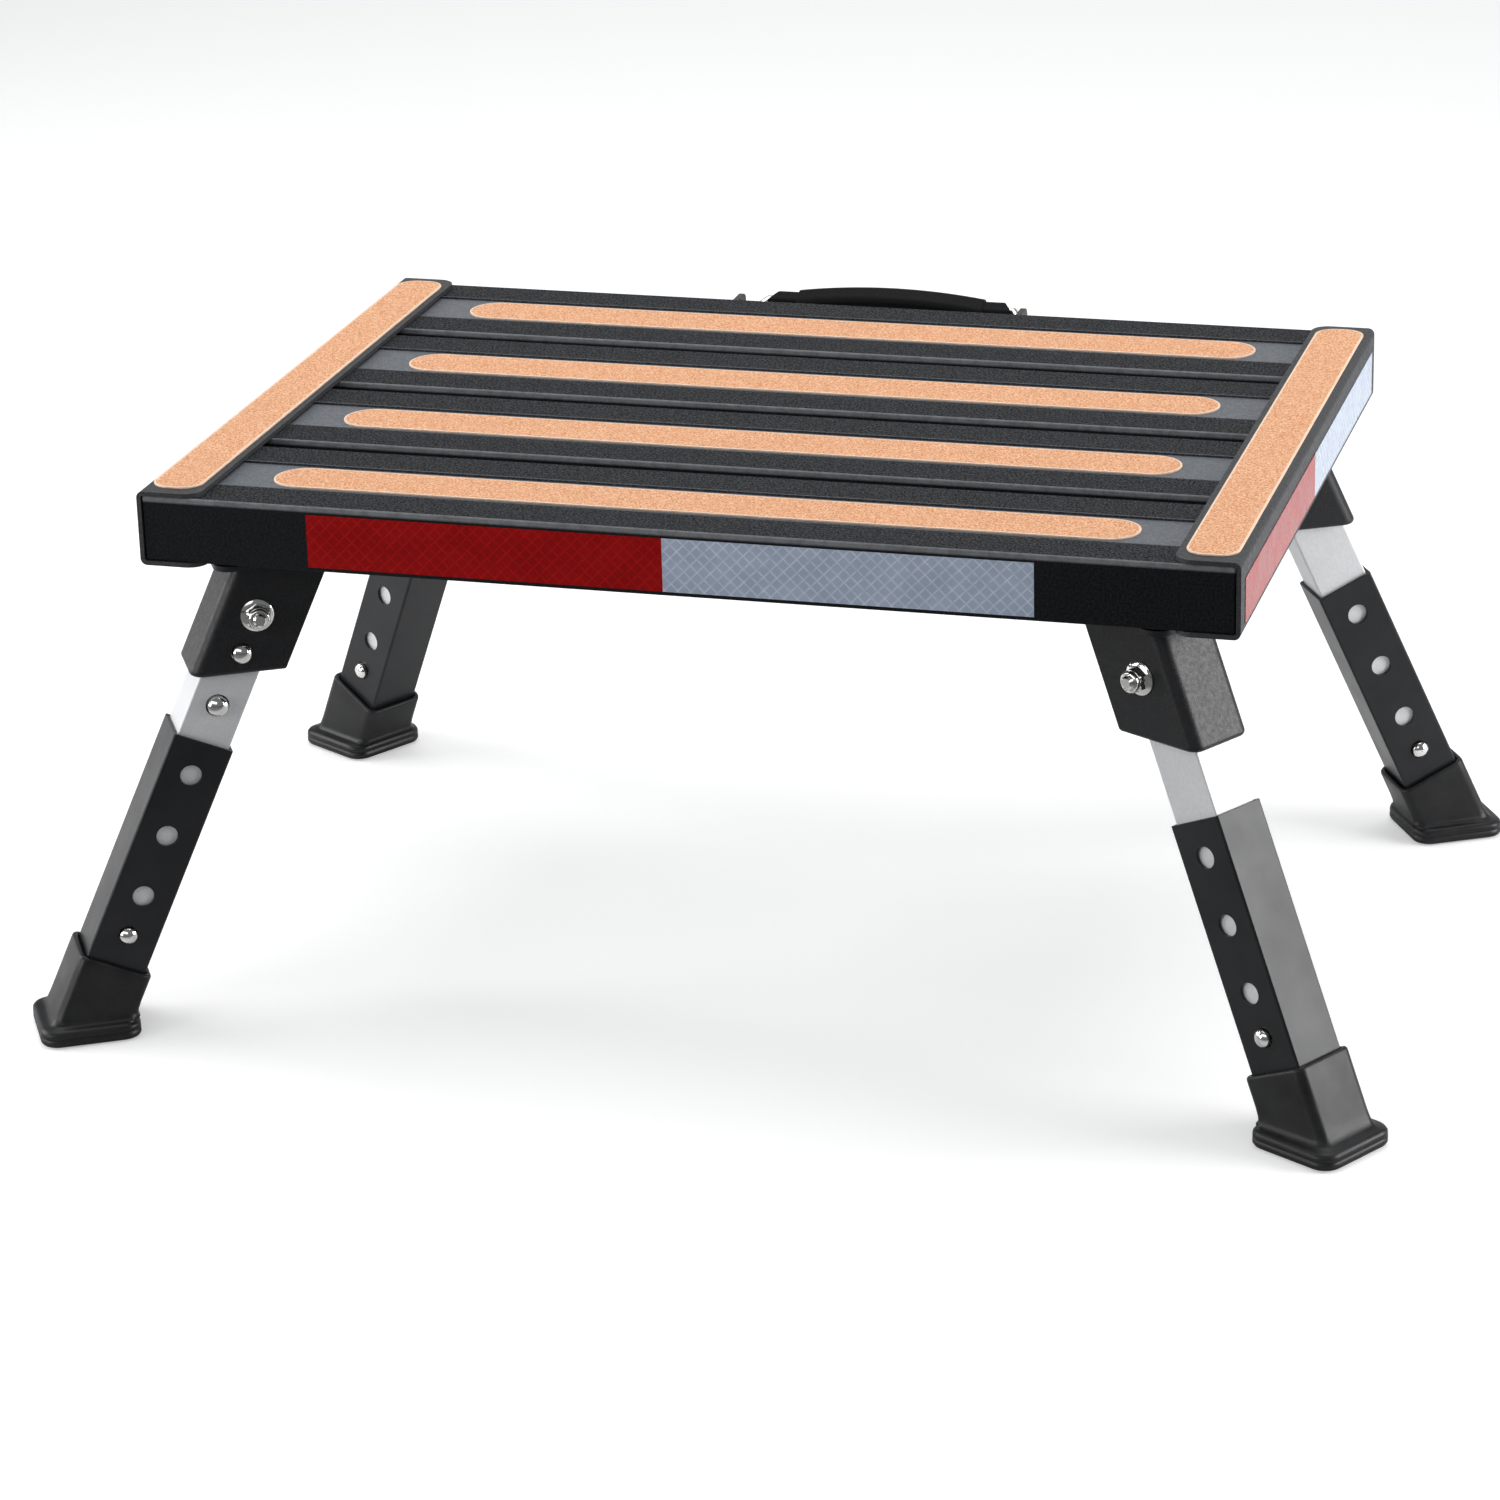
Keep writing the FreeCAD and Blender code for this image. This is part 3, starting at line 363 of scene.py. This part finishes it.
def skin(rings, closed=False):
    """Vertices and faces through rings of equal length, capped at both ends or closed into a loop."""
    count = len(rings[0])
    verts = [point for ring in rings for point in ring]
    faces = []
    for level in range(len(rings) if closed else len(rings) - 1):
        a, b = level * count, (level + 1) % len(rings) * count
        for i in range(count):
            j = (i + 1) % count
            faces.append((a + i, a + j, b + j, b + i))
    if not closed:
        faces.append(tuple(reversed(range(count))))
        faces.append(tuple(range(len(verts) - count, len(verts))))
    return verts, faces


# ---- materials ------------------------------------------------------------------------------
channel_coat = powder_coat("channel_powder_coat", (0.030, 0.031, 0.034), (0.075, 0.078, 0.084))
bracket_coat = powder_coat("bracket_powder_coat", (0.013, 0.0135, 0.015), (0.032, 0.033, 0.036), 1500.0,
                           (0.34, 0.46), 0.00007, 0.34)
plating = nickel("nickel_plating")
rubber = moulded_rubber("moulded_rubber")
trim_black = satin_black("black_fastener", (0.012, 0.012, 0.013), (0.30, 0.45))
washer_nylon = satin_black("black_nylon", (0.016, 0.016, 0.017), (0.40, 0.52))
grip_plastic = powder_coat("grained_plastic", (0.004, 0.004, 0.0045), (0.008, 0.008, 0.009), 1800.0,
                           (0.45, 0.58), 0.00004, 0.1)
red_tape = prismatic_tape("red_prismatic_tape", (0.27, 0.0004, 0.0007), (0.39, 0.0008, 0.0013),
                          (0.62, 0.005, 0.008))
white_tape = prismatic_tape("white_prismatic_tape", (0.35, 0.42, 0.55), (0.50, 0.58, 0.72),
                            (0.92, 0.95, 1.0))

# ---- platform -------------------------------------------------------------------------------
for name in ("front", "mid_front", "mid_rear", "rear"):
    low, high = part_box("deck_plank_" + name)
    y = (low.y + high.y) / 2
    dress("deck_plank_" + name, plank_coat("plank_coat_" + name, y), 0.0004)
    low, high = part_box("plank_grip_" + name)
    half = ((high.x - low.x) / 2, (high.y - low.y) / 2)
    dress("plank_grip_" + name, abrasive("abrasive_" + name, (0.0, y), half, half[1]), 0.00015)
for name in ("left", "right"):
    dress("end_channel_" + name, channel_coat, 0.0004)
    low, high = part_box("end_grip_" + name)
    centre = ((low.x + high.x) / 2, (low.y + high.y) / 2)
    half = ((high.x - low.x) / 2, (high.y - low.y) / 2)
    dress("end_grip_" + name, abrasive("abrasive_end_" + name, centre, half, END_GRIP_CORNER), 0.00015)
dress("reflectors_red", red_tape)
dress("reflectors_white", white_tape)
for name in ("channel_rivets", "bracket_rivets", "bracket_shims"):
    dress(name, trim_black)
dress("leg_stop_pads", rubber, 0.0003)
dress("pivot_washers", washer_nylon, 0.0002)
dress("pivot_bolts", plating, crisp=True)
dress("handle_brackets", bracket_coat, 0.0004)
dress("handle_screws", plating, crisp=True)
dress("handle_bail", plating)
dress("handle_grip", grip_plastic, 0.0006, 3)

# ---- legs -----------------------------------------------------------------------------------
for corner in CORNERS:
    turn = (0.0, SPLAY, -math.radians(CORNERS[corner]))
    coat = satin_black("sleeve_coat_" + corner, (0.011, 0.0115, 0.013), (0.26, 0.36), turn, 0.32)
    dress("leg_bracket_" + corner, bracket_coat, 0.0005)
    dress("inner_tube_" + corner, drawn_aluminium("aluminium_" + corner, turn), 0.0002)
    dress("sleeve_" + corner, coat, 0.0003)
    for button in ("fold_lock_button_", "height_button_", "snap_button_a_", "snap_button_b_"):
        dress(button + corner, plating)


# ---- boots ----------------------------------------------------------------------------------
CORNER_STEPS = 8                   # quads round each corner of a boot
BASE_SHIFT = -0.0018               # the base's middle from where the leg's axis meets the floor
LEG_DOWN = Vector((math.sin(SPLAY), 0.0, -math.cos(SPLAY)))
LEG_OUT = Vector((math.cos(SPLAY), 0.0, math.sin(SPLAY)))

# the boot's sections: height above the floor, half width and corner radius
BASE_SECTIONS = (
    (0.0, 0.0205, 0.0065), (0.0006, 0.0219, 0.0078), (0.0016, 0.0225, 0.0080), (0.0034, 0.0225, 0.0080),
    (0.0038, 0.0220, 0.0077), (0.0042, 0.0220, 0.0077), (0.0046, 0.0225, 0.0080), (0.0062, 0.0224, 0.0080),
    (0.0074, 0.0216, 0.0075), (0.0080, 0.0203, 0.0068))
FLARE_SECTIONS = (
    (0.0082, 0.0188, 0.0055), (0.0092, 0.0177, 0.0050), (0.0112, 0.0172, 0.0046), (0.0150, 0.0170, 0.0045))
# the same, by distance down the leg from its pivot instead of height
SOCKET_SECTIONS = (
    (0.1830, 0.0170, 0.0045), (0.1760, 0.0170, 0.0045), (0.1750, 0.0168, 0.0043), (0.1745, 0.0163, 0.0039),
    (0.1745, 0.0150, 0.0026), (0.1753, 0.0146, 0.0022), (0.1790, 0.0145, 0.0020))


def base_ring(z, half, radius):
    """A level section of the boot's base."""
    middle = PIVOT[2] * math.tan(SPLAY) + BASE_SHIFT
    return [Vector((middle + x, y, z - PIVOT[2])) for x, y in rounded_square(half, radius, CORNER_STEPS)]


def flare_ring(z, half, radius):
    """The leaning socket's section where its skin crosses a level height."""
    ring = []
    for x, y in rounded_square(half, radius, CORNER_STEPS):
        side = LEG_OUT * x
        along = (z - PIVOT[2] - side.z) / LEG_DOWN.z
        ring.append(side + LEG_DOWN * along + Vector((0.0, y, 0.0)))
    return ring


def socket_ring(along, half, radius):
    """The socket's section square to the leg."""
    square = rounded_square(half, radius, CORNER_STEPS)
    return [LEG_OUT * x + LEG_DOWN * along + Vector((0.0, y, 0.0)) for x, y in square]


def make_boot(corner):
    """The moulded boot: a leaning socket that flares into a lipped base with a parting groove."""
    rings = [base_ring(*section) for section in BASE_SECTIONS]
    rings += [flare_ring(*section) for section in FLARE_SECTIONS]
    rings += [socket_ring(*section) for section in SOCKET_SECTIONS]
    frame_at = corner_frame(corner)
    verts, faces = skin([[frame_at @ point for point in ring] for ring in rings])
    boot = mesh_object("boot_" + corner, verts, faces, rubber, "lower_leg_" + corner)
    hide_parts("foot_" + corner)


# ---- lock nuts ------------------------------------------------------------------------------
NUT_STEPS = 48                     # quads round a nut
NUT_FLAT = 0.005                   # half the width across the nut's flats

# distance out from the bracket's ear and radius: bore, flange, collar and back into the bore
FLANGE_SECTIONS = (
    (0.0, 0.00302), (0.0, 0.00725), (0.00012, 0.0074), (0.0007, 0.0074), (0.00086, 0.00734),
    (0.00096, 0.00718), (0.00155, 0.00595))
COLLAR_SECTIONS = (
    (0.0056, 0.00495), (0.00562, 0.00475), (0.0068, 0.00475), (0.00715, 0.00468), (0.00745, 0.0045),
    (0.00768, 0.0042), (0.00778, 0.00395), (0.0078, 0.00372), (0.00715, 0.00304))
HEXAGON_FROM, HEXAGON_TO = 0.00162, 0.005


def nut_ring(out, side, radius=None):
    """A section of a nut square to its bolt: round, or six-sided where no radius is given."""
    ring = []
    for i in range(NUT_STEPS):
        turn = 2 * math.pi * i / NUT_STEPS
        to_flat = (turn + math.pi / 6) % (math.pi / 3) - math.pi / 6
        reach = radius or NUT_FLAT / math.cos(to_flat)
        ring.append(Vector((reach * math.cos(turn), side * (EAR_OUT + out), -side * reach * math.sin(turn))))
    return ring


def make_nuts():
    """The four flanged lock nuts, each on the outer side of its bracket."""
    verts = []
    faces = []
    for corner, (sx, sy) in SIGNS.items():
        side = sx * sy
        rings = [nut_ring(out, side, radius) for out, radius in FLANGE_SECTIONS]
        rings += [nut_ring(out, side) for out in (HEXAGON_FROM, HEXAGON_TO)]
        rings += [nut_ring(out, side, radius) for out, radius in COLLAR_SECTIONS]
        frame_at = corner_frame(corner)
        nut_verts, nut_faces = skin([[frame_at @ point for point in ring] for ring in rings], closed=True)
        faces += [tuple(len(verts) + i for i in face) for face in nut_faces]
        verts += nut_verts
    nuts = mesh_object("lock_nuts", verts, faces, plating, "platform")
    split = nuts.modifiers.new("facets", "EDGE_SPLIT")
    split.split_angle = math.radians(26)
    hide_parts("pivot_nuts")


for corner in CORNERS:
    make_boot(corner)
make_nuts()


# ---- studio ---------------------------------------------------------------------------------
FLOOR_HALF = 30.0
FLOOR_DROP = 0.0003                # the floor lies this far under the feet
FLOOR_GLOW = 0.36                  # lifts the seen floor to nearly white
SKY_SHOWN = 1.1
SKY_FELT = 0.16

# name, place, aimed at, width and height, watts
SOFTBOXES = (
    ("softbox_right", (1.66, 0.12, 0.54), (0.0, 0.0, 0.12), (1.0, 0.8), 23.0),
    ("softbox_front", (-0.4, -2.3, 1.45), (0.0, 0.0, 0.15), (2.6, 0.9), 9.0),
    ("softbox_low_left", (-1.6, -1.7, 0.50), (0.1, 0.0, 0.12), (0.9, 0.7), 13.0),
    ("softbox_left", (-1.7, -0.1, 0.75), (0.0, 0.0, 0.12), (1.3, 1.1), 20.0),
    ("softbox_top", (0.0, 0.3, 2.0), (0.0, 0.0, 0.2), (2.2, 1.8), 27.0),
    ("softbox_back", (0.0, 2.3, 1.0), (0.0, 0.0, 0.25), (3.4, 1.5), 9.0))


def softbox(name, place, target, size, power):
    light = bpy.data.lights.new(name, "AREA")
    light.shape = "RECTANGLE"
    light.size, light.size_y = size
    light.energy = power
    obj = bpy.data.objects.new(name, light)
    obj.location = place
    obj.rotation_mode = "QUATERNION"
    obj.rotation_quaternion = (Vector(target) - Vector(place)).to_track_quat("-Z", "Y")
    bpy.context.scene.collection.objects.link(obj)


def shown_or_felt(tree, shown, felt):
    """One look for what the camera sees directly, and another for the light that reaches the object."""
    path = tree.nodes.new("ShaderNodeLightPath")
    mix = tree.nodes.new("ShaderNodeMixShader")
    tree.links.new(path.outputs["Is Camera Ray"], mix.inputs[0])
    tree.links.new(felt.outputs[0], mix.inputs[1])
    tree.links.new(shown.outputs[0], mix.inputs[2])
    return mix


def studio_paper():
    """Pale paper that throws less light up in front of the object, and is clear from below."""
    paper = bpy.data.materials.new("studio_paper")
    paper.use_nodes = True
    tree = paper.node_tree
    shown = tree.nodes["Principled BSDF"]
    shown.inputs["Base Color"].default_value = (0.80, 0.80, 0.80, 1)
    shown.inputs["Roughness"].default_value = 0.9
    shown.inputs["Specular IOR Level"].default_value = 0.0
    shown.inputs["Emission Color"].default_value = (1, 1, 1, 1)
    shown.inputs["Emission Strength"].default_value = FLOOR_GLOW
    felt = tree.nodes.new("ShaderNodeBsdfDiffuse")
    geometry = tree.nodes.new("ShaderNodeNewGeometry")
    spot = tree.nodes.new("ShaderNodeSeparateXYZ")
    tree.links.new(geometry.outputs["Position"], spot.inputs[0])
    shade = tree.nodes.new("ShaderNodeMapRange")
    for socket, value in (("From Min", -0.42), ("From Max", -0.12), ("To Min", 0.14), ("To Max", 0.80)):
        shade.inputs[socket].default_value = value
    tree.links.new(spot.outputs[1], shade.inputs["Value"])
    tree.links.new(shade.outputs[0], felt.inputs["Color"])
    one_sided = tree.nodes.new("ShaderNodeMixShader")
    tree.links.new(geometry.outputs["Backfacing"], one_sided.inputs[0])
    tree.links.new(shown_or_felt(tree, shown, felt).outputs[0], one_sided.inputs[1])
    tree.links.new(tree.nodes.new("ShaderNodeBsdfTransparent").outputs[0], one_sided.inputs[2])
    tree.links.new(one_sided.outputs[0], tree.nodes["Material Output"].inputs[0])
    return paper


def make_floor():
    mesh = bpy.data.meshes.new("studio_floor")
    r, z = FLOOR_HALF, -FLOOR_DROP
    mesh.from_pydata([(-r, -r, z), (r, -r, z), (r, r, z), (-r, r, z)], [], [(0, 1, 2, 3)])
    mesh.materials.append(studio_paper())
    floor = bpy.data.objects.new("studio_floor", mesh)
    bpy.context.scene.collection.objects.link(floor)


def make_world():
    """A white backdrop for the camera, and a faint cool fill for the object."""
    world = bpy.data.worlds.new("studio")
    world.use_nodes = True
    tree = world.node_tree
    shown = tree.nodes["Background"]
    shown.inputs["Color"].default_value = (1, 1, 1, 1)
    shown.inputs["Strength"].default_value = SKY_SHOWN
    felt = tree.nodes.new("ShaderNodeBackground")
    felt.inputs["Color"].default_value = (0.93, 0.96, 1.0, 1)
    felt.inputs["Strength"].default_value = SKY_FELT
    mix = shown_or_felt(tree, shown, felt)
    tree.links.new(mix.outputs[0], tree.nodes["World Output"].inputs[0])
    bpy.context.scene.world = world


# ---- camera ---------------------------------------------------------------------------------
CAMERA_AT = (0.57871, -2.06028, 0.90989)
CAMERA_LENS = 119.04
AZIMUTH, ELEVATION, ROLL = math.radians(16.17), math.radians(21.04), math.radians(-1.53)


def make_camera():
    """The photograph's view: from the front, a little to the right and above."""
    level = math.cos(ELEVATION)
    back = Vector((math.sin(AZIMUTH) * level, -math.cos(AZIMUTH) * level, math.sin(ELEVATION)))
    right = Vector((math.cos(AZIMUTH), math.sin(AZIMUTH), 0.0))
    up = back.cross(right)
    x = math.cos(ROLL) * right + math.sin(ROLL) * up
    y = -math.sin(ROLL) * right + math.cos(ROLL) * up
    data = bpy.data.cameras.new("camera")
    data.sensor_width = 36.0
    data.lens = CAMERA_LENS
    data.clip_start, data.clip_end = 0.05, 100.0
    camera = bpy.data.objects.new("camera", data)
    camera.matrix_world = Matrix.Translation(CAMERA_AT) @ Matrix((x, y, back)).transposed().to_4x4()
    bpy.context.scene.collection.objects.link(camera)
    bpy.context.scene.camera = camera


make_floor()
make_world()
for light in SOFTBOXES:
    softbox(*light)
bpy.context.scene.view_settings.view_transform = "Standard"
make_camera()
bpy.context.view_layer.update()
